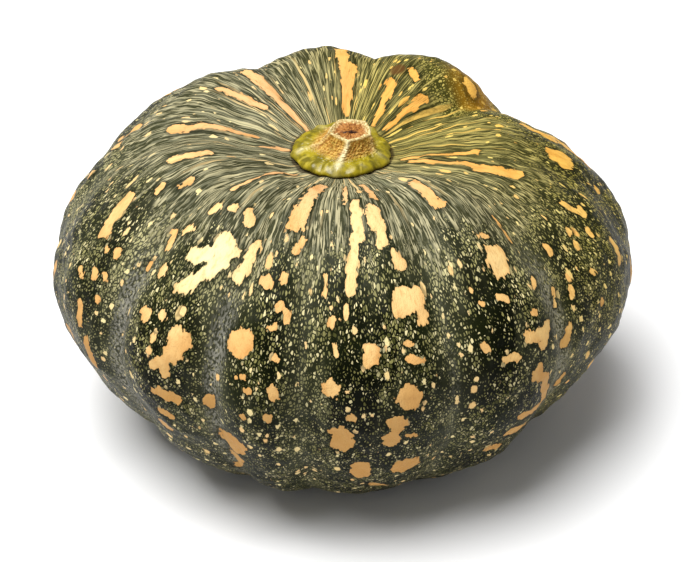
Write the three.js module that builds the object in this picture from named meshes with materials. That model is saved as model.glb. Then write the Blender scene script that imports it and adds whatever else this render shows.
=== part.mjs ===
// A ribbed winter squash lying on its blossom end, with its cut stem.
// Millimetres, +Z up. Azimuth 0 faces -Y and grows towards +X.

import * as THREE from "three";
import { ParametricGeometry } from "three/addons/geometries/ParametricGeometry.js";

// Outline of the fruit from the stem to the blossom end, before its ribs are pressed in.
const pitHeight = 131; // skin under the stem
const pitFlat = 29; // how far out the skin under the stem stays level
const shoulderRadius = 65;
const shoulderHeight = 148;
const shoulderInner = 28; // reach of the shoulder's round inwards, then outwards
const shoulderOuter = 22;
const girthRadius = 125;
const girthHeight = 84;
const girthUpper = 28; // reach of the girth's round upwards, then downwards
const girthLower = 32;
const restRadius = 61; // ring that the fruit lies on
const restOuter = 28; // reach of the underside's round outwards, then inwards
const restInner = 38;
const blossomHeight = 4; // the blossom end is drawn in by this much
const blossomFlat = 16;

// Ribs, in order of azimuth. Each starts at a groove: its azimuth in degrees and its depth.
// The rib's crest stands out past the outline by one amount at the shoulder, one at the girth.
const ribs = [
  { start: -151, groove: 6.5, shoulder: -0.5, girth: -4 },
  { start: -103, groove: 5.5, shoulder: -0.5, girth: -2.5 },
  { start: -87, groove: 3.5, shoulder: 1, girth: -0.5 },
  { start: -51, groove: 6.5, shoulder: 0, girth: 0 },
  { start: -26, groove: 4.5, shoulder: 0, girth: 3.5 },
  { start: -8, groove: 2, shoulder: 0, girth: 2 },
  { start: 23, groove: 3, shoulder: 0, girth: 1 },
  { start: 50, groove: 5.5, shoulder: -8.5, girth: 1 },
  { start: 127, groove: 15, shoulder: 2, girth: -12.5 },
  { start: 168, groove: 4.5, shoulder: 0, girth: 0 },
];
const ribRoundness = 2.2; // 2 gives round ribs, more gives flat ribs with narrow grooves
const ribFadeIn = [0.03, 0.2]; // stretches of the outline, as shares of its length
const ribTurn = [0.2, 0.5]; // from the crest at the shoulder to the crest at the girth
const ribLevelOut = [0.62, 0.8]; // crests come level here, so that every rib reaches the table
const ribFadeOut = [0.6, 0.95];
const grooveLeft = 0.4; // share of a groove's depth left where the fruit lies
const blossomFade = [0.9, 1]; // the grooves run out at the blossom end
const crease = { azimuth: 88, depth: 2, width: 7 }; // a shallow fold in the widest rib
const oval = 0.043; // wider from side to side than from front to back
const ovalFadeIn = [0, 0.35];
const restFlat = 0.8; // how much of each rib is pressed flat where the fruit lies

// Cut stem: a flared foot on the skin, a short five-sided neck and a dished cut face.
const stemGap = 0.35; // clearance over the skin
const footShare = 0.064; // how far the foot reaches along the fruit's outline, as a share of it
const footBulge = 1.2; // how far its lip stands out past its underside
const lipHeight = 1.3; // the lip's widest line, over the skin there
const lipTop = 3;
const flareRadius = 14.5; // where the neck's hollow flare turns into the foot's round top
const flareHeight = 7;
const flareSlope = 0.8; // fall of the flare there, over its reach
const neckHeight = 13;
const cutRadius = 10;
const cutHeight = 16;
const cutDish = 1.3; // depth of the cut face inside its rim
const cutRim = 2; // width of the rim
const cutRound = 0.8; // round over the rim's outer edge
const lean = new THREE.Vector2(4, -0.5); // from the middle of the foot to that of the cut face
const ridgeCount = 5;
const ridgeAzimuth = -6; // degrees, of the ridge at the front
const ridgeAtNeck = 0.65; // 0 is a round section, 1 is a pentagon
const ridgeAtFoot = 0.2;

// Mesh steps.
const ribStep = 4; // most degrees between two columns of the fruit
const leastColumns = 5; // in a rib
const fruitRows = 38;
const stemColumns = 50;
const stemTopRows = 17;
const stemUndersideRows = 3;

const radians = Math.PI / 180;

// 0 before a stretch, 1 after it and a smooth step between.
function smooth([from, to], x) {
  return THREE.MathUtils.smoothstep(x, from, to);
}

// A chain of cubic curves: each end point and its two handles, as radius and height.
function chain(points) {
  const path = new THREE.CurvePath();
  const corners = points.map(([r, z]) => new THREE.Vector2(r, z));
  for (let i = 0; i + 3 < corners.length; i += 3)
    path.add(new THREE.CubicBezierCurve(...corners.slice(i, i + 4)));
  return path;
}

// A point at an azimuth in degrees, a distance out from the axis.
function around(azimuth, radius, height) {
  const angle = azimuth * radians;
  return new THREE.Vector3(radius * Math.sin(angle), -radius * Math.cos(angle), height);
}

const outline = chain([
  [0, pitHeight],
  [pitFlat, pitHeight],
  [shoulderRadius - shoulderInner, shoulderHeight],
  [shoulderRadius, shoulderHeight],
  [shoulderRadius + shoulderOuter, shoulderHeight],
  [girthRadius, girthHeight + girthUpper],
  [girthRadius, girthHeight],
  [girthRadius, girthHeight - girthLower],
  [restRadius + restOuter, 0],
  [restRadius, 0],
  [restRadius - restInner, 0],
  [blossomFlat, blossomHeight],
  [0, blossomHeight],
]);

// The azimuth where a rib ends, past 180 for the last one.
function ribEnd(index) {
  return index + 1 < ribs.length ? ribs[index + 1].start : ribs[0].start + 360;
}

// How deep the shallow fold is at an azimuth.
function creaseDepth(azimuth) {
  const away = THREE.MathUtils.euclideanModulo(azimuth - crease.azimuth + 180, 360) - 180;
  return crease.depth * Math.exp(-((away / crease.width) ** 2));
}

// How far the skin stands out past the outline at an azimuth, a share t along the outline.
function relief(azimuth, t) {
  const first = ribs[0].start;
  const turned = THREE.MathUtils.euclideanModulo(azimuth - first, 360) + first;
  const index = ribs.findLastIndex((rib) => rib.start <= turned);
  const rib = ribs[index];
  const next = ribs[(index + 1) % ribs.length];
  const across = (turned - rib.start) / (ribEnd(index) - rib.start);
  const edge = Math.abs(2 * across - 1) ** ribRoundness;
  const depth = THREE.MathUtils.lerp(rib.groove, next.groove, across);
  const crest = THREE.MathUtils.lerp(rib.shoulder, rib.girth, smooth(ribTurn, t));
  const level = 1 - smooth(ribLevelOut, t);
  const fade = smooth(ribFadeIn, t) * (1 - smooth(blossomFade, t));
  const strength = fade * (1 - (1 - grooveLeft) * smooth(ribFadeOut, t));
  return strength * (crest * level * (1 - edge) - depth * edge - creaseDepth(azimuth));
}

// The skin at an azimuth, a share t of the way from the stem to the blossom end.
function skinPoint(azimuth, t) {
  const point = outline.getPoint(t);
  const tangent = outline.getTangent(t);
  const out = relief(azimuth, t);
  const plan = 1 - oval * Math.cos(2 * azimuth * radians) * smooth(ovalFadeIn, t);
  const radius = (point.x - out * tangent.y) * plan;
  return around(azimuth, radius, Math.max(point.y + out * tangent.x, restFlat));
}

// Azimuths of the fruit's columns, with one in each groove.
function fruitColumns() {
  return ribs.flatMap((rib, index) => {
    const width = ribEnd(index) - rib.start;
    const columns = Math.max(leastColumns, Math.ceil(width / ribStep));
    return Array.from({ length: columns }, (_, i) => rib.start + (width * i) / columns);
  });
}

// Columns run clockwise seen from above, so that the faces point outwards.
function fruitGeometry() {
  const azimuths = fruitColumns();
  const columns = azimuths.length;
  const place = (u, v, target) => {
    const atPole = v === 0 || v === 1;
    const azimuth = azimuths[Math.round((1 - u) * columns) % columns];
    target.copy(atPole ? around(0, 0, outline.getPoint(v).y) : skinPoint(azimuth, v));
  };
  return new ParametricGeometry(place, columns, fruitRows);
}

const footRadius = outline.getPoint(footShare).x;
const lipRadius = footRadius + footBulge;

// The stem's outline, from the middle of the cut face to the foot's underside. Heights are over
// the skin under the stem, and near the foot over the skin where the foot ends.
const stemOutline = chain([
  [0, cutHeight - cutDish],
  [cutRadius / 2, cutHeight - cutDish],
  [cutRadius - cutRim, cutHeight - cutDish],
  [cutRadius - cutRim / 2, cutHeight],
  [cutRadius - cutRound / 2, cutHeight],
  [cutRadius, cutHeight - cutRound / 2],
  [cutRadius, cutHeight - cutRound],
  [cutRadius, neckHeight],
  [flareRadius - 2, flareHeight + 2 * flareSlope],
  [flareRadius, flareHeight],
  [flareRadius + 2.5, flareHeight - 2.5 * flareSlope],
  [lipRadius, lipTop],
  [lipRadius, lipHeight],
  [lipRadius, stemGap],
  [footRadius + footBulge / 2, stemGap],
  [footRadius, stemGap],
]);

// Share of the radius left by the flat sides between the ridges: 1 on a ridge.
function fiveSided(azimuth, sharpness) {
  const side = 360 / ridgeCount;
  const fromRidge = THREE.MathUtils.euclideanModulo(azimuth - ridgeAzimuth, side);
  const pentagon = Math.cos((side / 2) * radians) / Math.cos((fromRidge - side / 2) * radians);
  return THREE.MathUtils.lerp(1, pentagon, sharpness);
}

// The stem's outer face at an azimuth, a share t of the way from the cut face to the foot's edge.
function stemPoint(azimuth, t) {
  const point = stemOutline.getPoint(t);
  const flare = smooth([cutRadius, footRadius], point.x);
  const sharpness = THREE.MathUtils.lerp(ridgeAtNeck, ridgeAtFoot, flare);
  const rise = (skinPoint(azimuth, footShare).z - pitHeight) * flare;
  const placed = around(azimuth, point.x * fiveSided(azimuth, sharpness), point.y + rise);
  const lift = smooth([lipHeight, cutHeight], point.y);
  return placed.add(new THREE.Vector3(lean.x * lift, lean.y * lift, pitHeight));
}

function stemGeometry() {
  const rows = stemTopRows + stemUndersideRows;
  const place = (u, v, target) => {
    const row = Math.round(v * rows);
    const azimuth = (360 * Math.round((1 - u) * stemColumns)) / stemColumns;
    if (row <= stemTopRows) target.copy(stemPoint(azimuth, row / stemTopRows));
    else {
      const inwards = (rows - row) / stemUndersideRows;
      const side = fiveSided(azimuth, ridgeAtFoot);
      target.copy(skinPoint(azimuth, footShare * inwards * side));
      target.z += stemGap;
    }
  };
  return new ParametricGeometry(place, stemColumns, rows);
}

function piece(name, geometry, color, roughness) {
  geometry.computeVertexNormals();
  const material = new THREE.MeshStandardMaterial({ color, roughness, metalness: 0 });
  const mesh = new THREE.Mesh(geometry, material);
  mesh.name = name;
  return mesh;
}

const squash = new THREE.Group();
squash.add(piece("fruit", fruitGeometry(), "#46552f", 0.5));
squash.add(piece("stem", stemGeometry(), "#9a8f2c", 0.45));

// The origin is in the middle of the squash's plan, on the surface that it lies on.
const middle = new THREE.Box3().setFromObject(squash).getCenter(new THREE.Vector3());
squash.position.set(-middle.x, -middle.y, -restFlat);

export default squash;
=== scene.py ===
"""A ribbed, speckled winter squash on a pale table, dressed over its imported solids."""

import math
import random
from functools import partial

import bpy
import numpy as np
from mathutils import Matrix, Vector


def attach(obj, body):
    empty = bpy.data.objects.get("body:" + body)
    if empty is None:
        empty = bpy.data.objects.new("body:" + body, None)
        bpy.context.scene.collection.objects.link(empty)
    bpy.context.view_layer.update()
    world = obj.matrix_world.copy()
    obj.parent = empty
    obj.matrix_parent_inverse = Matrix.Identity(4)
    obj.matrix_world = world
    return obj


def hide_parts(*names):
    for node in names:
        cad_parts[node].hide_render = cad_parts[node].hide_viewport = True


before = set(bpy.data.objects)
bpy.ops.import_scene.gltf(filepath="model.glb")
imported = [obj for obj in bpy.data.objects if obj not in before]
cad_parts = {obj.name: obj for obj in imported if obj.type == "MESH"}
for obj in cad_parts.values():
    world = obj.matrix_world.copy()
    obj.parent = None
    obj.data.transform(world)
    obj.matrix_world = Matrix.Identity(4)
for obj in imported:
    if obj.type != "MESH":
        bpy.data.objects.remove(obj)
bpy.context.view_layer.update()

MM = 0.001

# ---------------------------------------------------------------------------
# Sizes of the fruit, in millimetres and degrees, as its solids have them.
# Azimuth 0 faces -Y and grows towards +X. A share runs along the outline from
# the stem (0) to the blossom end (1).
# ---------------------------------------------------------------------------
# Where the fruit's own axis stands, and how far the fruit is let down.
AXIS = np.array([-1.04, 0.94, -0.8])

PIT_HEIGHT, PIT_FLAT = 131, 29
SHOULDER_RADIUS, SHOULDER_HEIGHT = 65, 148
SHOULDER_INNER, SHOULDER_OUTER = 28, 22
GIRTH_RADIUS, GIRTH_HEIGHT = 125, 84
GIRTH_UPPER, GIRTH_LOWER = 28, 32
REST_RADIUS, REST_OUTER, REST_INNER = 61, 28, 38
BLOSSOM_HEIGHT, BLOSSOM_FLAT = 4, 16
OUTLINE = [
    (0, PIT_HEIGHT),
    (PIT_FLAT, PIT_HEIGHT),
    (SHOULDER_RADIUS - SHOULDER_INNER, SHOULDER_HEIGHT),
    (SHOULDER_RADIUS, SHOULDER_HEIGHT),
    (SHOULDER_RADIUS + SHOULDER_OUTER, SHOULDER_HEIGHT),
    (GIRTH_RADIUS, GIRTH_HEIGHT + GIRTH_UPPER),
    (GIRTH_RADIUS, GIRTH_HEIGHT),
    (GIRTH_RADIUS, GIRTH_HEIGHT - GIRTH_LOWER),
    (REST_RADIUS + REST_OUTER, 0),
    (REST_RADIUS, 0),
    (REST_RADIUS - REST_INNER, 0),
    (BLOSSOM_FLAT, BLOSSOM_HEIGHT),
    (0, BLOSSOM_HEIGHT),
]

# Each rib starts at a groove: its azimuth and depth, then how far the rib's crest stands out
# at the shoulder and at the girth.
RIBS = [
    (-151, 6.5, -0.5, -4),
    (-103, 5.5, -0.5, -2.5),
    (-87, 3.5, 1, -0.5),
    (-51, 6.5, 0, 0),
    (-26, 4.5, 0, 3.5),
    (-8, 2, 0, 2),
    (23, 3, 0, 1),
    (50, 5.5, -8.5, 1),
    (127, 15, 2, -12.5),
    (168, 4.5, 0, 0),
]
RIB_ROUNDNESS = 2.2
RIB_FADE_IN = (0.03, 0.2)
RIB_TURN = (0.2, 0.5)
RIB_LEVEL_OUT = (0.62, 0.8)
RIB_FADE_OUT = (0.6, 0.95)
GROOVE_LEFT = 0.4
BLOSSOM_FADE = (0.9, 1)
CREASE_AZIMUTH, CREASE_DEPTH, CREASE_WIDTH = 88, 2, 7
OVAL = 0.043
OVAL_FADE_IN = (0, 0.35)
REST_FLAT = 0.8

# The cut stem.
STEM_GAP = 0.35
FOOT_SHARE = 0.064
FOOT_BULGE = 1.2
LIP_HEIGHT, LIP_TOP = 1.3, 3
FLARE_RADIUS, FLARE_HEIGHT, FLARE_SLOPE = 14.5, 7, 0.8
FLARE_ABOVE, FLARE_BELOW = 2, 2.5  # reach of the flare's curve on each side
NECK_HEIGHT = 13
CUT_RADIUS, CUT_HEIGHT, CUT_DISH, CUT_RIM, CUT_ROUND = 10, 16, 1.3, 2, 0.8
LEAN = np.array([4, -0.5])
RIDGE_COUNT, RIDGE_AZIMUTH = 5, -6
RIDGE_AT_NECK = 0.65
FOOT_CORNERS = 0.4  # the foot's own edge is a little more five-sided than its solid


def smooth(stretch, x):
    """0 before a stretch, 1 after it and a smooth step between."""
    low, high = stretch
    x = np.clip((np.asarray(x, float) - low) / (high - low), 0, 1)
    return x * x * (3 - 2 * x)


def lerp(a, b, x):
    return a + (b - a) * x


class Chain:
    """A chain of cubic curves, read by the share of its length."""

    STEPS = 400

    def __init__(self, points):
        points = np.array(points, float)
        u = np.linspace(0, 1, self.STEPS + 1)[:, None]
        places, turns = [], []
        for a, b, c, d in (points[i : i + 4] for i in range(0, len(points) - 1, 3)):
            first, last = (1 - u) ** 3 * a, u**3 * d
            places.append(first + 3 * (1 - u) ** 2 * u * b + 3 * (1 - u) * u**2 * c + last)
            turns.append((1 - u) ** 2 * (b - a) + 2 * (1 - u) * u * (c - b) + u**2 * (d - c))
        self.places, turns = np.vstack(places), np.vstack(turns)
        self.turns = turns / np.linalg.norm(turns, axis=1)[:, None]
        steps = np.linalg.norm(np.diff(self.places, axis=0), axis=1)
        run = np.concatenate([[0], np.cumsum(steps)])
        self.length, self.shares = run[-1], run / run[-1]

    def at(self, share):
        """Radius, height, and the curve's own direction as two more numbers."""
        columns = (*self.places.T, *self.turns.T)
        return [np.interp(share, self.shares, column) for column in columns]


outline = Chain(OUTLINE)


def around(azimuth, radius, height):
    angle = np.radians(azimuth)
    return np.stack([radius * np.sin(angle), -radius * np.cos(angle), height], -1)


def rib_at(azimuth):
    """For each azimuth: its rib's index and how far across the rib it is, 0 to 1."""
    starts = np.array([rib[0] for rib in RIBS] + [RIBS[0][0] + 360], float)
    turned = (azimuth - starts[0]) % 360 + starts[0]
    index = np.clip(np.searchsorted(starts, turned, side="right") - 1, 0, len(RIBS) - 1)
    width = starts[index + 1] - starts[index]
    return index, (turned - starts[index]) / width, width


def relief(azimuth, share):
    """How far the skin stands out past the outline."""
    index, across, _ = rib_at(azimuth)
    table = np.array(RIBS + [RIBS[0]], float)
    edge = np.abs(2 * across - 1) ** RIB_ROUNDNESS
    depth = lerp(table[index, 1], table[index + 1, 1], across)
    crest = lerp(table[index, 2], table[index, 3], smooth(RIB_TURN, share))
    level = 1 - smooth(RIB_LEVEL_OUT, share)
    fade = smooth(RIB_FADE_IN, share) * (1 - smooth(BLOSSOM_FADE, share))
    strength = fade * (1 - (1 - GROOVE_LEFT) * smooth(RIB_FADE_OUT, share))
    away = (azimuth - CREASE_AZIMUTH + 180) % 360 - 180
    crease = CREASE_DEPTH * np.exp(-((away / CREASE_WIDTH) ** 2))
    return strength * (crest * level * (1 - edge) - depth * edge - crease)


def skin(azimuth, share, out=0):
    """The skin's place, pushed out by some millimetres. It stays flat where it lies."""
    radius, height, turn_r, turn_z = outline.at(share)
    out = out + relief(azimuth, share)
    plan = 1 - OVAL * np.cos(2 * np.radians(azimuth)) * smooth(OVAL_FADE_IN, share)
    radius = (radius - out * turn_z) * plan
    return around(azimuth, radius, np.maximum(height + out * turn_r, REST_FLAT))


def wrap(angle):
    return (angle + 180) % 360 - 180


def waves(places, size, seed, count=14):
    """Smooth seeded unevenness from about -1 to 1, made of waves that cross each other."""
    draw = np.random.default_rng(seed)
    total = np.zeros(len(places))
    for _ in range(count):
        way = draw.normal(size=3)
        length = size * draw.uniform(0.7, 1.5)
        phase = places @ (way / np.linalg.norm(way)) * 2 * math.pi / length
        total += np.sin(phase + draw.uniform(0, 7))
    return total / math.sqrt(count / 2)


# ---------------------------------------------------------------------------
# Camera
# ---------------------------------------------------------------------------
CAMERA_ELEVATION = 35
CAMERA_DISTANCE = 943  # mm, from a point on the fruit's axis
CAMERA_TARGET_HEIGHT = 70.7
SENSOR, LENS = 36, 109.4
SHIFT_X, SHIFT_Y = 0.0007, -0.0124


def make_camera():
    data = bpy.data.cameras.new("camera")
    data.sensor_width, data.lens = SENSOR, LENS
    data.shift_x, data.shift_y = SHIFT_X, SHIFT_Y
    camera = bpy.data.objects.new("camera", data)
    bpy.context.scene.collection.objects.link(camera)
    tilt = math.radians(CAMERA_ELEVATION)
    target = AXIS + (0, 0, CAMERA_TARGET_HEIGHT)
    back = np.array([0, -math.cos(tilt), math.sin(tilt)]) * CAMERA_DISTANCE
    camera.location = Vector((target + back) * MM)
    camera.rotation_euler = (math.pi / 2 - tilt, 0, 0)
    bpy.context.scene.camera = camera


make_camera()

# ---------------------------------------------------------------------------
# Markings. A mark is an azimuth in degrees, a distance from the stem along the
# skin, a width and a length in mm, and a lean in degrees: over 0, its lower end
# points to larger azimuths. Near the stem a mark widens outwards, as a ray.
# ---------------------------------------------------------------------------
MARKS = [
    # the largest blotch, on the rib at the front left: a body, two wings and a low lobe
    (-32, 97, 11, 14, 20), (-33, 108, 7, 20, -38), (-37, 103, 8, 14, -60), (-37, 118, 7, 11, -40),
    (-25, 100, 7, 22, -13),
    # the rest of that rib, from the top down
    (-30, 80, 5, 9, 20), (-36, 79, 4, 6, -12), (-41, 83, 5, 8, -22), (-49, 102, 4, 14, 34),
    (-45, 95, 5, 7, -40), (-45, 116, 5, 7, 0), (-51, 117, 3, 6, 8), (-44, 135, 6, 7, 30),
    (-40, 132, 5, 6, 25), (-35, 128, 4, 4, 0), (-34, 139, 9, 12, 68), (-35, 144, 9, 13, -10),
    (-37, 151, 5, 15, -55), (-36, 154, 4, 9, 0), (-40, 143, 3, 5, 25), (-36, 168, 6, 15, 77),
    (-37, 179, 4, 9, 70), (-39, 190, 6, 9, 38),
    # the narrow rib beside it
    (-13, 60, 6, 48, -4), (-12, 89, 4, 10, -18), (-18, 108, 5, 7, 46), (-14, 105, 3, 6, -8),
    (-14, 117, 3, 6, -9), (-12, 121, 3, 7, 0), (-15, 126, 3, 6, -60), (-21, 134, 12, 13, 15),
    (-13, 138, 4, 4, 0), (-20, 147, 3, 6, -65), (-18, 152, 4, 4, 0), (-13, 152, 4, 8, 20),
    (-27, 166, 6, 9, 0), (-19, 164, 4, 4, 0), (-14, 163, 4, 4, 0), (-23, 187, 13, 17, -40),
    (-24, 203, 8, 16, -16), (-25, 222, 12, 8, 0),
    # the front rib: a long streak, then blotches down to the table
    (2, 53, 2, 27, -3), (13, 52, 3, 26, 1), (5, 76, 5, 25, 0), (3, 98, 5, 28, -9),
    (11, 76, 7, 14, 8), (12, 85, 5, 13, -13), (15, 97, 5, 11, 19), (16, 113, 9, 15, 77),
    (18, 120, 6, 13, 0), (13, 116, 5, 11, -14), (15, 117, 8, 8, 0), (-4, 107, 2, 12, 0),
    (1, 118, 3, 9, -7), (-2, 122, 3, 6, -10), (6, 135, 7, 11, -6), (-1, 133, 3, 7, 9),
    (14, 132, 3, 5, 80),
    (15, 139, 4, 9, 79), (-2, 149, 8, 8, 0), (13, 154, 12, 11, 0), (2, 162, 5, 5, 0),
    (11, 166, 9, 10, 0), (10, 175, 8, 12, 10), (14, 175, 3, 7, 75), (0, 175, 10, 16, 0),
    (14, 198, 14, 12, 0), (4, 197, 9, 15, 0), (9, 219, 9, 9, 0),
    # the rib right of the front one
    (34, 66, 5, 24, -1), (40, 96, 3, 7, 65), (49, 96, 2, 16, -6), (40, 108, 10, 16, -3),
    (31, 116, 2, 4, 29), (47, 123, 3, 7, -41), (37, 123, 3, 7, 54), (32, 122, 3, 3, 0),
    (43, 133, 4, 4, 0), (42, 143, 6, 14, 80), (45, 144, 5, 11, -40), (43, 148, 4, 5, 0),
    (30, 140, 3, 6, 20), (35, 148, 4, 9, 80), (41, 160, 8, 10, -15), (44, 172, 6, 22, 16),
    (41, 182, 5, 16, 80), (39, 194, 6, 14, 75), (36, 206, 6, 10, 75),
    # the wide rib at the right
    (81, 44, 3, 35, 12), (73, 58, 4, 56, 4), (72, 72, 6, 26, 11), (58, 115, 5, 8, 19),
    (74, 110, 4, 9, 17), (76, 117, 4, 7, -15), (67, 116, 4, 5, 0), (72, 124, 4, 6, 0),
    (66, 123, 3, 5, -20), (52, 134, 3, 10, -18), (57, 137, 3, 7, -18), (65, 137, 3, 6, 9),
    (52, 154, 5, 13, -32), (64, 151, 4, 4, 0), (76, 141, 5, 14, -20), (82, 160, 4, 14, -20),
    (52, 181, 4, 10, 0),
    # the left shoulder and side
    (-40, 51, 2, 42, -4), (-69, 70, 4, 19, -3), (-58, 79, 3, 8, 0), (-62, 88, 3, 7, 0),
    (-67, 109, 7, 24, 9), (-62, 122, 4, 4, 0), (-59, 120, 5, 6, 34), (-59, 132, 4, 5, 28),
    (-62, 134, 4, 7, 36), (-65, 138, 3, 7, 40), (-59, 143, 5, 5, 0), (-62, 155, 4, 14, 17),
    (-79, 156, 5, 11, 0), (-59, 172, 4, 19, 3), (-70, 180, 5, 14, 20),
    # rays round the back of the stem, and the patch on the browned shoulder
    (178, 54, 5, 52, 5), (175, 51, 4, 28, 0), (148, 38, 4, 29, 11), (133, 40, 3, 30, 0),
    (-140, 47, 5, 52, -1), (-124, 55, 4, 26, 9), (-92, 57, 3, 40, 2), (-87, 30, 2, 15, 8),
    (132, 86, 9, 10, 0), (144, 59, 4, 9, 60),
]
JAGGED = 1.4  # mm, how far a mark's edge wanders
NARROW = 7  # mm, a mark narrower than this wanders less
CALMEST = 0.3  # how much the narrowest marks wander, as a share of the rest
FAR_OUTSIDE, DEEP_INSIDE = -6.0, 8  # mm, the least and the most that is told apart


def mark_depth(azimuth, run):
    """How deep inside the nearest mark each place is, in mm: under 0 outside them all."""
    deepest = np.full(azimuth.shape, FAR_OUTSIDE)
    for mark_azimuth, mark_run, width, length, lean in MARKS + hidden_marks():
        radius = outline.at(mark_run / outline.length)[0]
        u = np.radians(wrap(azimuth - mark_azimuth)) * radius
        v = run - mark_run
        turn = math.radians(lean)
        across = u * math.cos(turn) - v * math.sin(turn)
        along = np.abs(v * math.cos(turn) + u * math.sin(turn))
        half = min(width, length) / 2
        beyond_across = np.maximum(np.abs(across) - width / 2 + half, 0)
        beyond_along = np.maximum(along - length / 2 + half, 0)
        depth = half - np.hypot(beyond_across, beyond_along)
        calm = min(1, CALMEST + (1 - CALMEST) * width / NARROW)
        deepest = np.maximum(deepest, depth / calm)
    return np.minimum(deepest, DEEP_INSIDE)


# The far side's own blotches, in columns: the first and last azimuth and the step between them.
HIDDEN_COLUMNS = (94, 268, 9)
HIDDEN_FROM, HIDDEN_TO = (95, 112), 225  # mm from the stem
SMALL_MARK, LARGE_MARK, SMALL_SHARE = (3, 6), (7, 13), 0.75


def hidden_marks():
    """Seeded blotches for the far side, laid out as on the near side."""
    draw = random.Random(11)
    marks = []
    for azimuth in range(*HIDDEN_COLUMNS):
        side = wrap(azimuth + draw.uniform(-3, 3))
        run = draw.uniform(*HIDDEN_FROM)
        while run < HIDDEN_TO:
            small = draw.random() < SMALL_SHARE
            size = draw.uniform(*(SMALL_MARK if small else LARGE_MARK))
            length = size * draw.uniform(0.8, 2.2)
            marks.append((side + draw.uniform(-4, 4), run, size, length, draw.uniform(-25, 25)))
            run += size + draw.uniform(6, 20)
    return marks


# ---------------------------------------------------------------------------
# Meshes
# ---------------------------------------------------------------------------
FRUIT_SEGMENTS, FRUIT_RINGS = 384, 250
STEM_SEGMENTS, STEM_RINGS = 240, 130


def round_blank(name, segments, rings, radius, height):
    """A round blank, made at its size and place: its radius and the height of its middle, in mm.
    Returns it with each vertex's azimuth, and its share of the way from top to bottom."""
    middle = (AXIS + (0, 0, height)) * MM
    bpy.ops.object.select_all(action="DESELECT")
    bpy.ops.mesh.primitive_uv_sphere_add(
        segments=segments, ring_count=rings, radius=radius * MM, location=middle
    )
    bpy.ops.object.transform_apply(location=True, rotation=False, scale=False)
    blank = bpy.context.object
    blank.name = blank.data.name = name
    places = np.empty(len(blank.data.vertices) * 3, np.float32)
    blank.data.vertices.foreach_get("co", places)
    x, y, z = ((places.reshape(-1, 3) - middle) / (radius * MM)).T
    ring = np.round(np.arccos(np.clip(z, -1, 1)) / math.pi * rings)
    at_pole = (ring == 0) | (ring == rings)
    azimuth = np.where(at_pole, 0, np.degrees(np.arctan2(x, -y)))
    return blank, azimuth, ring / rings


def place_vertices(piece, places):
    """Moves a blank's vertices to their places, given in mm from the fruit's own axis."""
    piece.data.vertices.foreach_set("co", ((places + AXIS) * MM).astype(np.float32).ravel())
    piece.data.update()


def write(piece, name, values):
    """Keeps a number or a vector for each vertex, for the finish to read."""
    vector = values.ndim == 2
    kept = piece.data.attributes.new(name, "FLOAT_VECTOR" if vector else "FLOAT", "POINT")
    kept.data.foreach_set("vector" if vector else "value", values.astype(np.float32).ravel())


def smooth_shaded(piece):
    bpy.ops.object.select_all(action="DESELECT")
    piece.select_set(True)
    bpy.context.view_layer.objects.active = piece
    bpy.ops.object.shade_smooth()


# Near the stem the dots are drawn out into streaks, so the pattern's own skin is narrower and
# shorter there. These give its radius and its length for each mm of skin. Below the girth the
# pattern closes in with the fruit.
DOT_RADIUS = (64, 104)
DOT_STRETCH = (0.17, 0.6)
DOT_STRETCH_BELOW = 0.18  # more than that where the fruit turns under
CLOSING_FROM = 150
DOT_SPACING = 0.98  # mm on the pattern's own skin
STREAK_RADIUS = 100
STREAK_STRETCH = (0.07, 0.26)


def pattern_places(azimuth, run):
    steps = np.linspace(0, outline.length, 1600)
    fruit_radius = outline.at(steps / outline.length)[0]
    upper = lerp(*DOT_RADIUS, smooth((15, 130), steps))
    radius = np.where(steps < CLOSING_FROM, upper, fruit_radius * DOT_RADIUS[1] / GIRTH_RADIUS)
    stretch = lerp(*DOT_STRETCH, smooth((55, 170), steps))
    stretch = stretch + DOT_STRETCH_BELOW * smooth((190, 260), steps)
    drop = np.sqrt(np.maximum(stretch**2 - np.gradient(radius, steps) ** 2, 0.01))
    depth = np.concatenate([[0], np.cumsum((drop[1:] + drop[:-1]) / 2 * np.diff(steps))])
    dots = around(azimuth, np.interp(run, steps, radius), -np.interp(run, steps, depth))
    rate = lerp(*STREAK_STRETCH, smooth((60, 130), steps))
    length = np.concatenate([[0], np.cumsum((rate[1:] + rate[:-1]) / 2 * np.diff(steps))])
    drop = -np.interp(run, steps, length)
    streaks = around(azimuth, np.full(run.shape, float(STREAK_RADIUS)), drop)
    return dots, streaks


GROOVE_REACH = (9, 6.3)  # mm, how far bloom lies from a groove at the shoulder, then below


def groove_nearness(azimuth, share):
    """1 in a groove and round the stem, 0 on a rib's crest. Grooves are wide at the shoulder."""
    index, across, width = rib_at(azimuth)
    radius = np.maximum(outline.at(share)[0], 20)
    beyond = np.minimum(across, 1 - across) * np.radians(width) * radius
    run = share * outline.length
    reach = lerp(*GROOVE_REACH, smooth((70, 150), run))
    depths = np.array(RIBS + [RIBS[0]], float)[:, 1]
    depth = np.where(across < 0.5, depths[index], depths[index + 1])
    reach = reach * np.minimum(0.8 + 0.12 * depth, 1.5)
    shallow = np.clip(depth / 5, 0.55, 1)
    return np.exp(-((beyond / reach) ** 2)) * lerp(1, shallow, smooth((65, 100), run))


# Soft spots of the finish: strength, then the azimuth and the distance from the stem of the
# middle, and the reach across and along the skin in mm.
RIPE = [(1, 130, 92, 26, 30)]
SCRAPE = [(1, 152, 58, 4.5, 5)]
PALE = [(0.3, 4, 85, 14, 30), (0.4, 40, 108, 9, 12), (1, -33, 104, 18, 20)]
# Two soft spots either side of the front, below the girth, where fewer dots show: painted shade.
SHADE_THINNING = [(1, 33, 137, 17, 22), (0.6, -26, 140, 18, 22)]
DUSTY_FADE = (35, 75)  # degrees from the front
SUNNED_AZIMUTH = 125  # the middle of the side that is yellower
SUNNED_FADE = (100, 30)  # degrees from there

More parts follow.
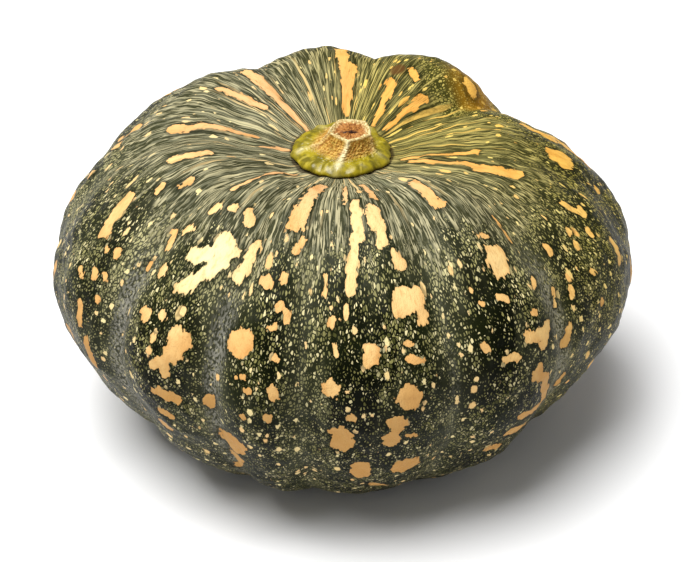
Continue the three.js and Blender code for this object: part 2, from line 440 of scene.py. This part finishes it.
# Relief of the skin that the solid leaves out, in mm: its height, and the width of its waves.
UNEVEN = ((0.45, 26), (0.18, 8))
FOLD_HEIGHT, FOLD_WIDTH = 0.35, 9
FOLD_RADIUS, FOLD_STRETCH = 60.0, 0.1
FOLD_FROM, FOLD_TO = (18, 30), (45, 95)
SCAR_HEIGHT, SCAR_RADIUS = 0.9, 5.5
SCAR_RING_HEIGHT, SCAR_RING_RADIUS, SCAR_RING_WIDTH = 0.5, 7.5, 1.6
TABLE_REACH = 9  # mm over the table, where the unevenness has all its height


def soft_spots(azimuth, run, spots_there):
    """The strength in the middle of each round spot, falling to 0."""
    total = 0
    for strength, middle, middle_run, width, length in spots_there:
        radius = outline.at(middle_run / outline.length)[0]
        u = np.radians(wrap(azimuth - middle)) * radius / width
        total = total + strength * np.exp(-(u**2) - ((run - middle_run) / length) ** 2)
    return total


def fine_relief(azimuth, share):
    """Gentle unevenness, fine folds that run out from under the stem, and the blossom scar."""
    run = share * outline.length
    flat = skin(azimuth, share)
    (coarse, coarse_width), (fine, fine_width) = UNEVEN
    uneven = coarse * waves(flat, coarse_width, seed=1) + fine * waves(flat, fine_width, seed=2)
    folds = around(azimuth, np.full(run.shape, FOLD_RADIUS), run * FOLD_STRETCH)
    fold_depth = FOLD_HEIGHT * waves(folds, FOLD_WIDTH, seed=3)
    fold_depth = fold_depth * smooth(FOLD_FROM, run) * (1 - smooth(FOLD_TO, run))
    off_table = smooth((REST_FLAT, TABLE_REACH), flat[:, 2])
    to_end = outline.length - run
    scar = SCAR_HEIGHT * np.exp(-((to_end / SCAR_RADIUS) ** 4))
    ring = SCAR_RING_HEIGHT * np.exp(-(((to_end - SCAR_RING_RADIUS) / SCAR_RING_WIDTH) ** 2))
    return (uneven + fold_depth) * off_table + (scar + ring) * (share > 0.5)


def make_fruit():
    middle = SHOULDER_HEIGHT / 2
    fruit, azimuth, share = round_blank(
        "squash_skin", FRUIT_SEGMENTS, FRUIT_RINGS, radius=middle, height=middle
    )
    run = share * outline.length
    place_vertices(fruit, skin(azimuth, share, fine_relief(azimuth, share)))
    dots, streaks = pattern_places(azimuth, run)
    kept = {
        "dots": dots,
        "streaks": streaks,
        "run": run,
        "groove": groove_nearness(azimuth, share),
        "mark": mark_depth(azimuth, run),
        "ripe": soft_spots(azimuth, run, RIPE),
        "scrape": soft_spots(azimuth, run, SCRAPE),
        "pale": soft_spots(azimuth, run, PALE),
        "shade_thinning": soft_spots(azimuth, run, SHADE_THINNING),
        "dusty": smooth(DUSTY_FADE, np.abs(wrap(azimuth))),
        "sunned": smooth(SUNNED_FADE, np.abs(wrap(azimuth - SUNNED_AZIMUTH))),
    }
    for name, values in kept.items():
        write(fruit, name, values)
    smooth_shaded(fruit)
    return fruit


foot_radius = outline.at(FOOT_SHARE)[0]
lip_radius = foot_radius + FOOT_BULGE
stem_outline = Chain(
    [
        (0, CUT_HEIGHT - CUT_DISH),
        (CUT_RADIUS / 2, CUT_HEIGHT - CUT_DISH),
        (CUT_RADIUS - CUT_RIM, CUT_HEIGHT - CUT_DISH),
        (CUT_RADIUS - CUT_RIM / 2, CUT_HEIGHT),
        (CUT_RADIUS - CUT_ROUND / 2, CUT_HEIGHT),
        (CUT_RADIUS, CUT_HEIGHT - CUT_ROUND / 2),
        (CUT_RADIUS, CUT_HEIGHT - CUT_ROUND),
        (CUT_RADIUS, NECK_HEIGHT),
        (FLARE_RADIUS - FLARE_ABOVE, FLARE_HEIGHT + FLARE_ABOVE * FLARE_SLOPE),
        (FLARE_RADIUS, FLARE_HEIGHT),
        (FLARE_RADIUS + FLARE_BELOW, FLARE_HEIGHT - FLARE_BELOW * FLARE_SLOPE),
        (lip_radius, LIP_TOP),
        (lip_radius, LIP_HEIGHT),
        (lip_radius, STEM_GAP),
        (foot_radius + FOOT_BULGE / 2, STEM_GAP),
        (foot_radius, STEM_GAP),
    ]
)
STEM_OUTER_SHARE = 0.85  # of the blank's rings, for the part that shows


def from_ridge(azimuth):
    """Degrees to the nearest of the five ridges."""
    side = 360 / RIDGE_COUNT
    return np.abs((azimuth - RIDGE_AZIMUTH + side / 2) % side - side / 2)


def five_sided(azimuth, sharpness):
    half = math.radians(180 / RIDGE_COUNT)
    pentagon = math.cos(half) / np.cos(np.radians(from_ridge(azimuth)) - half)
    return lerp(1, pentagon, sharpness)


# Stretches of the way from the middle of the cut face (0) to the foot's edge (1).
FACE_END = (0.26, 0.3)
SIDE_FROM, SIDE_TO = (0.3, 0.36), (0.96, 1)
NECK_FROM, NECK_TO = (0.32, 0.4), (0.62, 0.8)
CORK_FROM, CORK_TO = (0.34, 0.42), (0.62, 0.85)
LOW_FROM, LOW_TO = (0.6, 0.78), (0.93, 1)

# Relief of the stem that the solid leaves out, in mm unless it says otherwise. Where there are
# two numbers, they are its height and the width of its waves.
RIDGE_HEIGHT, RIDGE_WIDTH = 0.7, 6  # the width in degrees
LOW_RIDGE = 0.7  # share of the ridges' height left on the foot
PAD_HEIGHT = 0.9  # the foot swells between its ridges
SIDE_ROUGH = (0.14, 4.5)
CORK_ROUGH = (0.22, 1.3)
DENTS = (0.2, 3.2)
CUT_ROUGH = (0.28, 1.6)
CUT_FIBRE = (0.2, 1.5)
SPLIT_PLACE, SPLIT_WIDTH, SPLIT_LENGTH, SPLIT_DEPTH = -0.4, 0.7, 4.2, 1.3
PRESSED_IN = 0.6  # how far the underside is pressed into the skin, so that no gap shows

# Plain rolls for patterns that run down the stem: a radius, and a drop from end to end.
DENT_ROLL = (14, 8)
FIBRE_ROLL = (12, 6)
CUT_ROLL_RADIUS, CUT_ROLL_DROP = 9, 0.2  # the drop for each mm out from the middle
# The reach of the painted highlight on the front ridge.
FRONT_HIGHLIGHT_REACH = 20  # degrees, of the pale front ridge


def within(start, end, along):
    """1 between two soft ends of a stretch, 0 outside it."""
    return smooth(start, along) * (1 - smooth(end, along))


def rolled(azimuth, radius, drop):
    """Places on a plain roll of one radius, for patterns that run down the stem."""
    return around(azimuth, np.full(azimuth.shape, float(radius)), drop)


def stem_relief(azimuth, along, places, ridge_line):
    """How far the stem's side stands out past its solid."""
    neck, low = within(NECK_FROM, NECK_TO, along), within(LOW_FROM, LOW_TO, along)
    pads = np.cos(np.radians(from_ridge(azimuth) * RIDGE_COUNT / 2 - 90)) ** 2
    cork = within(CORK_FROM, CORK_TO, along)
    roll_radius, roll_drop = DENT_ROLL
    dents = waves(rolled(azimuth, roll_radius, -along * roll_drop), DENTS[1], seed=8)
    side_waves = SIDE_ROUGH[0] * waves(places, SIDE_ROUGH[1], seed=4)
    rough = side_waves + CORK_ROUGH[0] * cork * waves(places, CORK_ROUGH[1], seed=5)
    out = RIDGE_HEIGHT * ridge_line * (neck + LOW_RIDGE * low) + PAD_HEIGHT * pads * low
    return out + within(SIDE_FROM, SIDE_TO, along) * rough + DENTS[0] * low * dents


def make_stem():
    stem, azimuth, share = round_blank(
        "cut_stem", STEM_SEGMENTS, STEM_RINGS, radius=CUT_HEIGHT, height=PIT_HEIGHT
    )
    along = np.minimum(share / STEM_OUTER_SHARE, 1)
    radius, height, turn_r, turn_z = stem_outline.at(along)
    flare = smooth((CUT_RADIUS, foot_radius), radius)
    sharp = lerp(RIDGE_AT_NECK, FOOT_CORNERS, flare)
    ridge_line = np.exp(-((from_ridge(azimuth) / RIDGE_WIDTH) ** 2))
    wander = around(azimuth, radius, height)
    out = stem_relief(azimuth, along, wander, ridge_line)
    rise = (skin(azimuth, np.full(azimuth.shape, FOOT_SHARE))[:, 2] - PIT_HEIGHT) * flare
    cut = 1 - smooth(FACE_END, along)
    cut_roll = rolled(azimuth, CUT_ROLL_RADIUS, radius * CUT_ROLL_DROP)
    fibrous = CUT_FIBRE[0] * waves(cut_roll, CUT_FIBRE[1], seed=7)
    rough_cut = cut * (CUT_ROUGH[0] * waves(wander, CUT_ROUGH[1], seed=6) + fibrous)
    wide = (radius - out * turn_z) * five_sided(azimuth, sharp)
    places = around(azimuth, wide, height + out * turn_r + rise + rough_cut)
    # A split across the pith.
    split_y = (places[:, 1] - SPLIT_PLACE) / SPLIT_WIDTH
    crack = cut * np.exp(-(np.hypot(split_y, places[:, 0] / SPLIT_LENGTH) ** 2))
    places[:, 2] -= SPLIT_DEPTH * crack
    lift = smooth((LIP_HEIGHT, CUT_HEIGHT), height)
    places[:, :2] += lift[:, None] * LEAN
    places[:, 2] += PIT_HEIGHT

    inwards = np.clip((1 - share) / (1 - STEM_OUTER_SHARE), 0, 1)
    under = skin(azimuth, FOOT_SHARE * inwards * five_sided(azimuth, FOOT_CORNERS))
    under[:, 2] -= PRESSED_IN
    outer = share <= STEM_OUTER_SHARE
    place_vertices(stem, np.where(outer[:, None], places, under))
    write(stem, "along", along)
    write(stem, "ridge", ridge_line)
    # Closeness to the front ridge, where the finish paints a highlight.
    write(stem, "front", np.exp(-((wrap(azimuth - RIDGE_AZIMUTH) / FRONT_HIGHLIGHT_REACH) ** 2)))
    write(stem, "crack", crack)
    fibre_radius, fibre_drop = FIBRE_ROLL
    write(stem, "fibre", rolled(azimuth, fibre_radius, -along * fibre_drop))
    smooth_shaded(stem)
    return stem


# ---------------------------------------------------------------------------
# Finishes
# ---------------------------------------------------------------------------
def colour(code):
    """An sRGB hex colour as linear numbers."""
    parts = [int(code[i : i + 2], 16) / 255 for i in (1, 3, 5)]
    return [c / 12.92 if c <= 0.04045 else ((c + 0.055) / 1.055) ** 2.4 for c in parts] + [1]


def add_node(tree, kind, inputs=(), out="", **settings):
    """Adds a node with its settings and links, and returns one of its outputs. The inputs are
    numbers, colours or other nodes' outputs, by name or in the order of the open sockets."""
    node = tree.nodes.new("ShaderNode" + kind)
    for name, value in settings.items():
        setattr(node, name, value)
    if isinstance(inputs, dict):
        pairs = [(node.inputs[name], value) for name, value in inputs.items()]
    else:
        pairs = zip([socket for socket in node.inputs if socket.enabled], inputs)
    for socket, value in pairs:
        if isinstance(value, bpy.types.NodeSocket):
            tree.links.new(value, socket)
        else:
            socket.default_value = value
    if out:
        return node.outputs[out]
    return next((socket for socket in node.outputs if socket.enabled), None)


SOFT = {"interpolation_type": "SMOOTHSTEP"}
COLOURS = {"data_type": "RGBA"}


def material(name):
    made = bpy.data.materials.new(name)
    made.use_nodes = True
    made.node_tree.nodes.clear()
    return made, partial(add_node, made.node_tree)


def wandering(add, place, size, reach, detail=2):
    """A place that a pattern wanders from by up to some mm."""
    way = add("TexNoise", {"Vector": place, "Scale": 1 / size, "Detail": detail}, out="Color")
    return add("VectorMath", (way, (2 * reach,) * 3, place), operation="MULTIPLY_ADD")


def spots(add, place, spacing, least, most, edge):
    """Spots of every size from least to most, as shares of their spacing. Under 0 there is none.
    Returns them with two random numbers for each spot."""
    cell = add("TexVoronoi", {"Vector": place, "Scale": 1 / spacing})
    chance = add("SeparateColor", (cell.node.outputs["Color"],))
    size = add("MapRange", (chance, 0, 1, least, most))
    inside = add("Math", (size, cell), operation="SUBTRACT")
    spot = add("MapRange", (inside, -edge, edge, 0, 1), **SOFT)
    return spot, chance.node.outputs["Green"], chance.node.outputs["Blue"]


def finish_rind(piece):
    """Winter squash rind: a waxy green cuticle with pale dots and threads, a matt bloom in the
    grooves and cream to orange blotches. It gives the eye a fine, busy speckle under a soft
    gloss."""
    made, add = material("waxy_squash_rind")
    dots = add("Attribute", out="Vector", attribute_name="dots")
    streaks = add("Attribute", out="Vector", attribute_name="streaks")
    names = ("run", "groove", "dusty", "mark", "ripe", "scrape", "pale", "shade_thinning", "sunned")
    run, groove, dusty, mark, ripe, scrape, pale, shade_thinning, sunned = [
        add("Attribute", out="Fac", attribute_name=name) for name in names
    ]

    # Broad changes over the fruit: patches of darker green about 10 mm wide, and drifts of bloom
    # that follow the ribs.
    broad = add("TexNoise", {"Vector": dots, "Scale": 1 / 24})
    patches = add("TexNoise", {"Vector": dots, "Scale": 1 / 9})
    drift = add("TexNoise", {"Vector": streaks, "Scale": 1 / 9, "Detail": 3})
    near_stem = add("MapRange", (run, 40, 140, 1, 0), **SOFT)
    drifted = add("MapRange", (drift, 0.5, 0.72, 0, 0.5), **SOFT)
    bloom = add("Math", (groove, drifted), operation="ADD")
    bloom = add("Math", (dusty, 0.28, bloom), operation="MULTIPLY_ADD")
    bloom = add("Math", (bloom, near_stem), operation="ADD")
    thinned = add("MapRange", (patches, 0.3, 0.6, 0.6, 1.1), **SOFT)
    bloom = add("Math", (bloom, thinned), operation="MULTIPLY", use_clamp=True)

    # The rind between the dots, almost black where it is darkest.
    shade = add("MapRange", (broad, 0.35, 0.65, 0, 1), **SOFT)
    green = add("Mix", (shade, colour("#060801"), colour("#141805")), **COLOURS)
    bloomed = add("Math", (bloom, 0.75), operation="MULTIPLY")
    surface = add("Mix", (bloomed, green, colour("#42432f")), **COLOURS)
    ripened = add("Math", (ripe, 0.6), operation="MULTIPLY")
    surface = add("Mix", (ripened, surface, colour("#484a12")), **COLOURS)

    # Dots set close like cobbles, with a dark net between them. At the girth they are about 1.2 mm
    # apart across it and 1.7 mm along the ribs, and longer towards the stem. The net is fine in the
    # pale patches and wide in the dark ones, where the dots shrink to grains.
    cobble_place = wandering(add, dots, 1.6, 0.35)
    cobbles = {"Vector": cobble_place, "Scale": 1 / DOT_SPACING}
    cobble = add("TexVoronoi", cobbles)
    to_net = add("TexVoronoi", cobbles, feature="DISTANCE_TO_EDGE")
    chance = add("SeparateColor", (cobble.node.outputs["Color"],))
    shrink = add("MapRange", (patches, 0.36, 0.64, 0.2, 0.09), **SOFT)
    uneven = add("MapRange", (chance, 0, 1, 0.14, -0.03))
    net = add("Math", (shrink, uneven), operation="ADD")
    # Fewer dots in those spots, so the rind is darker there: painted shade.
    net = add("Math", (shade_thinning, 0.09, net), operation="MULTIPLY_ADD")
    inside = add("Math", (to_net, net), operation="SUBTRACT")
    dot = add("MapRange", (inside, -0.06, 0.07, 0, 1), **SOFT)
    # Painted shade: lower on the fruit the pale dots show less, so the rind darkens towards the
    # bottom.
    shade_dot_fade = add("MapRange", (run, 105, 170, 1, 0.55), **SOFT)
    tone, light = chance.node.outputs["Green"], chance.node.outputs["Blue"]
    light = add("MapRange", (light, 0.55, 1, 0, 1), **SOFT)
    tint = add("Mix", (tone, colour("#3a3c15"), colour("#99935a")), **COLOURS)
    tint = add("Mix", (light, tint, colour("#f2e4ac")), **COLOURS)
    tint = add("Mix", (bloomed, tint, colour("#a39d72")), **COLOURS)
    thread_place = wandering(add, streaks, 5, 0.7)
    thread_tone = add("TexNoise", {"Vector": thread_place, "Scale": 1 / 2, "Detail": 1})
    upper = add("MapRange", (run, 62, 135, 1, 0), **SOFT)
    threaded = add("Math", (upper, bloom), operation="MULTIPLY")
    threaded = add("Math", (threaded, thread_tone), operation="ADD")
    threaded = add("Math", (ripe, -2.5, threaded), operation="MULTIPLY_ADD")
    threaded = add("MapRange", (threaded, 0.75, 1.2, 0, 0.78), **SOFT)
    dotted = add("Math", (threaded, shade_dot_fade), operation="SUBTRACT")
    dot_share = add("Math", (dot, dotted), operation="MULTIPLY")
    dot_share = add("Math", (dot_share, -1), operation="MULTIPLY", use_clamp=True)
    surface = add("Mix", (dot_share, surface, tint), **COLOURS)

    # Below the shoulder the bloom lies grey and gritty in the grooves, over dots and rind alike.
    settled = add("MapRange", (run, 95, 140, 0, 0.65), **SOFT)
    in_groove = add("MapRange", (groove, 0.45, 1, 0, 1), **SOFT)
    settled = add("Math", (settled, in_groove), operation="MULTIPLY")
    grit = add("TexNoise", {"Vector": dots, "Scale": 1 / 0.8, "Detail": 1})
    grit = add("MapRange", (grit, 0.4, 0.6, 0, 1), **SOFT)
    grey = add("Mix", (grit, colour("#34352c"), colour("#928f84")), **COLOURS)
    surface = add("Mix", (settled, surface, grey), **COLOURS)

    # Threads along the skin, 0.5 mm wide, close together where the bloom is on the upper half,
    # and streaks of 1 to 2 mm that run out from the stem.
    strands = add("TexNoise", {"Vector": thread_place, "Scale": 1 / 0.75, "Detail": 1})
    thread = add("MapRange", (strands, 0.45, 0.56, 0, 1), **SOFT)
    thread_tone = add("MapRange", (thread_tone, 0.38, 0.62, 0, 1), **SOFT)
    tint = add("Mix", (thread_tone, colour("#6c6b54"), colour("#bcb38c")), **COLOURS)
    tint = add("Mix", (thread, colour("#34351f"), tint), **COLOURS)
    surface = add("Mix", (threaded, surface, tint), **COLOURS)
    root, root_tone, _ = spots(add, wandering(add, streaks, 8, 1.0), 2.1, -0.1, 0.5, 0.06)
    tint = add("Mix", (root_tone, colour("#7c7c5e"), colour("#dfd2a2")), **COLOURS)
    root_share = add("MapRange", (run, 45, 80, 0.8, 0), **SOFT)
    root_share = add("Math", (root, root_share), operation="MULTIPLY")
    surface = add("Mix", (root_share, surface, tint), **COLOURS)
    ray, ray_tone, _ = spots(add, wandering(add, streaks, 8, 1.2), 3.2, -0.45, 0.46, 0.06)
    tint = add("Mix", (ray_tone, colour("#c9b07c"), colour("#efcb8c")), **COLOURS)
    ray_share = add("MapRange", (run, 45, 85, 0.9, 0), **SOFT)
    ray_share = add("Math", (ray, ray_share), operation="MULTIPLY")
    surface = add("Mix", (ray_share, surface, tint), **COLOURS)

    # Spots up to about 2.5 mm across, and larger ones up to about 4 mm, here and there.
    for size, spacing, least, most, code, second in (
        (1.0, 3.0, -0.34, 0.34, "#ddce96", "#e0b97e"),
        (1.3, 6.0, -0.5, 0.27, "#e0c586", "#dfae70"),
    ):
        place = wandering(add, dots, size, 0.75)
        spot, spot_tone, _ = spots(add, place, spacing, least, most, 0.04)
        tint = add("Mix", (spot_tone, colour(code), colour(second)), **COLOURS)
        surface = add("Mix", (spot, surface, tint), **COLOURS)

    # The shoulder at the back is ripening: tan over its green.
    browned = add("MapRange", (ripe, 0.4, 1, 0, 0.5), **SOFT)
    surface = add("Mix", (browned, surface, colour("#c08c24")), **COLOURS)

    # Blotches with jagged edges and a darker green surround. They are peach near the stem and pale
    # yellow on the front ribs. Lower down they are painted a darker tan, which is painted shade.
    lobes = add("TexNoise", {"Vector": dots, "Scale": 1 / 2.6, "Detail": 2, "Roughness": 0.6})
    jag = add("MapRange", (lobes, 0.3, 0.7, -JAGGED, JAGGED))
    depth = add("Math", (mark, jag), operation="ADD")
    surround = add("MapRange", (depth, -3.5, -0.3, 0, 0.6), **SOFT)
    surface = add("Mix", (surround, surface, colour("#0f1505")), **COLOURS)
    warmth = add("TexNoise", {"Vector": dots, "Scale": 1 / 30, "Detail": 3})
    warmth = add("MapRange", (warmth, 0.35, 0.65, 0, 1), **SOFT)
    blotch = add("Mix", (warmth, colour("#e5c182"), colour("#d9a866")), **COLOURS)
    peach = add("MapRange", (run, 50, 85, 0.8, 0), **SOFT)
    blotch = add("Mix", (peach, blotch, colour("#dfac78")), **COLOURS)
    tanned = add("MapRange", (patches, 0.48, 0.72, 0, 0.6), **SOFT)
    blotch = add("Mix", (tanned, blotch, colour("#c48a49")), **COLOURS)
    # Painted shade: the blotches darken towards the bottom of the fruit.
    low = add("MapRange", (run, 130, 175, 0, 0.8), **SOFT)
    blotch = add("Mix", (low, blotch, colour("#b28345")), **COLOURS)
    blotch = add("Mix", (pale, blotch, colour("#ebdda6")), **COLOURS)
    mottled = add("TexNoise", {"Vector": dots, "Scale": 1 / 1.8, "Detail": 3})
    mottled = add("MapRange", (mottled, 0.48, 0.72, 0, 0.4), **SOFT)
    rim = add("MapRange", (depth, 0.3, 1.6, 0.35, 0), **SOFT)
    worn = add("Math", (mottled, rim), operation="MAXIMUM")
    blotch = add("Mix", (worn, blotch, colour("#b8854a")), **COLOURS)
    inside = add("MapRange", (depth, 0.15, 0.5, 0, 1), **SOFT)
    surface = add("Mix", (inside, surface, blotch), **COLOURS)

    # The side that lay in the sun is yellower.
    surface = add("Mix", (sunned, surface, colour("#fff5b4")), blend_type="MULTIPLY", **COLOURS)

    # A scrape, the corky blossom scar, and a dark ring round the stem's edge: a thin brown seam on
    # the rind with painted shade under the stem's lip.
    scraped = add("MapRange", (scrape, 0.35, 0.75, 0, 0.8), **SOFT)
    surface = add("Mix", (scraped, surface, colour("#5b3a1a")), **COLOURS)
    flakes = add("TexNoise", {"Vector": dots, "Scale": 1 / 1.5, "Detail": 3})
    ragged = add("Math", (flakes, 6, run), operation="MULTIPLY_ADD")
    cork = add("MapRange", (ragged, 327, 329, 0, 1), **SOFT)
    dry = add("MapRange", (flakes, 0.4, 0.6, 0, 1), **SOFT)
    dry = add("Mix", (dry, colour("#6b5233"), colour("#ab9065")), **COLOURS)
    surface = add("Mix", (cork, surface, dry), **COLOURS)
    # Painted shade under the stem's overhanging lip, over a thin brown seam.
    seam_and_shade = add("MapRange", (run, 22.6, 23.6, 0.7, 0), **SOFT)
    surface = add("Mix", (seam_and_shade, surface, colour("#2a1a0c")), **COLOURS)

    # The wax shines less under the bloom.
    rough = add("MapRange", (bloom, 0, 1, 0.36, 0.5))
    relief_dots = add("Math", (dot, 0.35), operation="MULTIPLY")
    relief_threads = add("Math", (thread, 0.25), operation="MULTIPLY")
    pores = add("TexNoise", {"Vector": dots, "Scale": 1 / 4, "Detail": 3})
    height = add("Math", (pores, 1.6, relief_dots), operation="MULTIPLY_ADD")
    height = add("Math", (height, relief_threads), operation="ADD")
    bump = add("Bump", {"Height": height, "Strength": 0.5, "Distance": 0.0004})
    wax = {"Base Color": surface, "Roughness": rough, "Normal": bump}
    shader = add("BsdfPrincipled", {**wax, "IOR": 1.45, "Specular IOR Level": 0.06})
    add("OutputMaterial", (shader,))
    piece.data.materials.append(made)


def finish_stem(piece):
    """Fresh-cut fruit stem: a juicy, glossy green foot with corky golden skin on the neck, pale
    ridges with a painted highlight on the front one, and a dry, fibrous cut face with a pale rim."""
    made, add = material("corky_green_stem")
    place = add("TexCoord", out="Object")
    fibre = add("Attribute", out="Vector", attribute_name="fibre")
    along, ridge, crack, front = [
        add("Attribute", out="Fac", attribute_name=name)
        for name in ("along", "ridge", "crack", "front")
    ]
    mottle = add("TexNoise", {"Vector": place, "Scale": 1 / (4 * MM), "Detail": 3})
    grain = add("TexNoise", {"Vector": place, "Scale": 1 / (0.9 * MM), "Detail": 3})
    strand = add("TexNoise", {"Vector": fibre, "Scale": 1 / 1.2, "Detail": 3})

    shade = add("MapRange", (mottle, 0.35, 0.65, 0, 1), **SOFT)
    green = add("Mix", (shade, colour("#665c05"), colour("#9a8a10")), **COLOURS)
    flecks = add("MapRange", (strand, 0.54, 0.7, 0, 0.4), **SOFT)
    green = add("Mix", (flecks, green, colour("#d0bd50")), **COLOURS)
    streaky = add("Math", (grain, strand), operation="ADD")
    shade = add("MapRange", (streaky, 0.88, 1.12, 0, 1), **SOFT)
    cork = add("Mix", (shade, colour("#9c6816"), colour("#c6a049")), **COLOURS)
    high = add("MapRange", (along, 0.54, 0.72, 1, 0), **SOFT)
    broken = add("MapRange", (mottle, 0.3, 0.5, 0.55, 1), **SOFT)
    cork_share = add("Math", (high, broken), operation="MULTIPLY")
    surface = add("Mix", (cork_share, green, cork), **COLOURS)
    # Pale cream along the ridges, strongest on the front one: the ridges' own pale skin, with a
    # painted highlight on the front ridge.
    worn = add("MapRange", (grain, 0.3, 0.6, 0.45, 0.95), **SOFT)
    ridge_highlight_share = add("Math", (ridge, worn), operation="MULTIPLY")
    front_highlight = add("MapRange", (front, 0, 1, 0.25, 1))
    ridge_highlight_share = add("Math", (ridge_highlight_share, front_highlight), operation="MULTIPLY")
    fading = add("MapRange", (along, 0.74, 0.9, 1, 0.15), **SOFT)
    ridge_highlight_share = add("Math", (ridge_highlight_share, fading), operation="MULTIPLY")
    surface = add("Mix", (ridge_highlight_share, surface, colour("#e6dcae")), **COLOURS)
    # The foot's lowest edge, under its lip against the rind, is darkened to olive brown: painted
    # shade.
    edge = add("MapRange", (along, 0.95, 0.99, 0, 0.7), **SOFT)
    surface = add("Mix", (edge, surface, colour("#4f430c")), **COLOURS)

    shade = add("MapRange", (grain, 0.38, 0.62, 0, 1), **SOFT)
    face = add("Mix", (shade, colour("#7f4914"), colour("#b57e3c")), **COLOURS)
    dry = add("MapRange", (strand, 0.45, 0.65, 0, 0.5), **SOFT)
    face = add("Mix", (dry, face, colour("#aa7027")), **COLOURS)
    # The split is painted dark brown: painted shade in its recess.
    split_shade = add("MapRange", (crack, 0.2, 0.7, 0, 1), **SOFT)
    face = add("Mix", (split_shade, face, colour("#3a1e14")), **COLOURS)
    rim = add("Mix", (shade, colour("#a88a4c"), colour("#dccb96")), **COLOURS)
    at_rim = add("MapRange", (along, 0.2, 0.27, 0, 1), **SOFT)
    face = add("Mix", (at_rim, face, rim), **COLOURS)
    on_face = add("MapRange", (along, 0.31, 0.35, 1, 0), **SOFT)
    surface = add("Mix", (on_face, surface, face), **COLOURS)

    # Corky above, juicy and smooth below.
    rough = add("MapRange", (along, 0.55, 0.72, 0.68, 0.34), **SOFT)
    fine = add("Math", (grain, 0.8), operation="MULTIPLY")
    height = add("Math", (strand, 0.7, fine), operation="MULTIPLY_ADD")
    dry_bump = add("MapRange", (along, 0.55, 0.72, 0.5, 0.08), **SOFT)
    bump = add("Bump", {"Height": height, "Strength": dry_bump, "Distance": 0.0005})
    skin_of_stem = {"Base Color": surface, "Roughness": rough, "Normal": bump, "IOR": 1.45}
    shader = add("BsdfPrincipled", skin_of_stem)
    add("OutputMaterial", (shader,))
    piece.data.materials.append(made)


def finish_table(piece):
    """Matt white laminate: an even, pale ground with no gloss."""
    made, add = material("matt_white_laminate")
    shader = add("BsdfPrincipled", {"Base Color": colour("#f0f0f0"), "Roughness": 0.9})
    add("OutputMaterial", (shader,))
    piece.data.materials.append(made)


# ---------------------------------------------------------------------------
# Stage, in metres and watts
# ---------------------------------------------------------------------------
TABLE_SIZE = 8
ROOM_LIGHT = 0.28
LIGHT_PLACE, LIGHT_SIZE, LIGHT_POWER = (-0.52, -0.34, 2.2), 1.5, 88
LIGHT_TARGET = (0, 0, 0.07)


def make_stage():
    bpy.ops.object.select_all(action="DESELECT")
    bpy.ops.mesh.primitive_plane_add(size=TABLE_SIZE, location=(0, 0, 0))
    table = bpy.context.object
    table.name = "table"
    finish_table(table)

    world = bpy.data.worlds.new("pale_room")
    world.use_nodes = True
    world.node_tree.nodes["Background"].inputs["Color"].default_value = (1, 1, 1, 1)
    world.node_tree.nodes["Background"].inputs["Strength"].default_value = ROOM_LIGHT
    bpy.context.scene.world = world

    make_light()
    bpy.context.scene.view_settings.view_transform = "Standard"


def make_light():
    """A soft light from above the left front."""
    light = bpy.data.lights.new("top_light", "AREA")
    light.shape, light.size, light.energy = "SQUARE", LIGHT_SIZE, LIGHT_POWER
    lamp = bpy.data.objects.new("top_light", light)
    bpy.context.scene.collection.objects.link(lamp)
    lamp.location = LIGHT_PLACE
    aim = Vector(LIGHT_TARGET) - Vector(LIGHT_PLACE)
    lamp.rotation_euler = aim.to_track_quat("-Z", "Y").to_euler()


fruit = make_fruit()
finish_rind(fruit)
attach(fruit, "root")
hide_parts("fruit")

stem = make_stem()
finish_stem(stem)
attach(stem, "root")
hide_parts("stem")

make_stage()
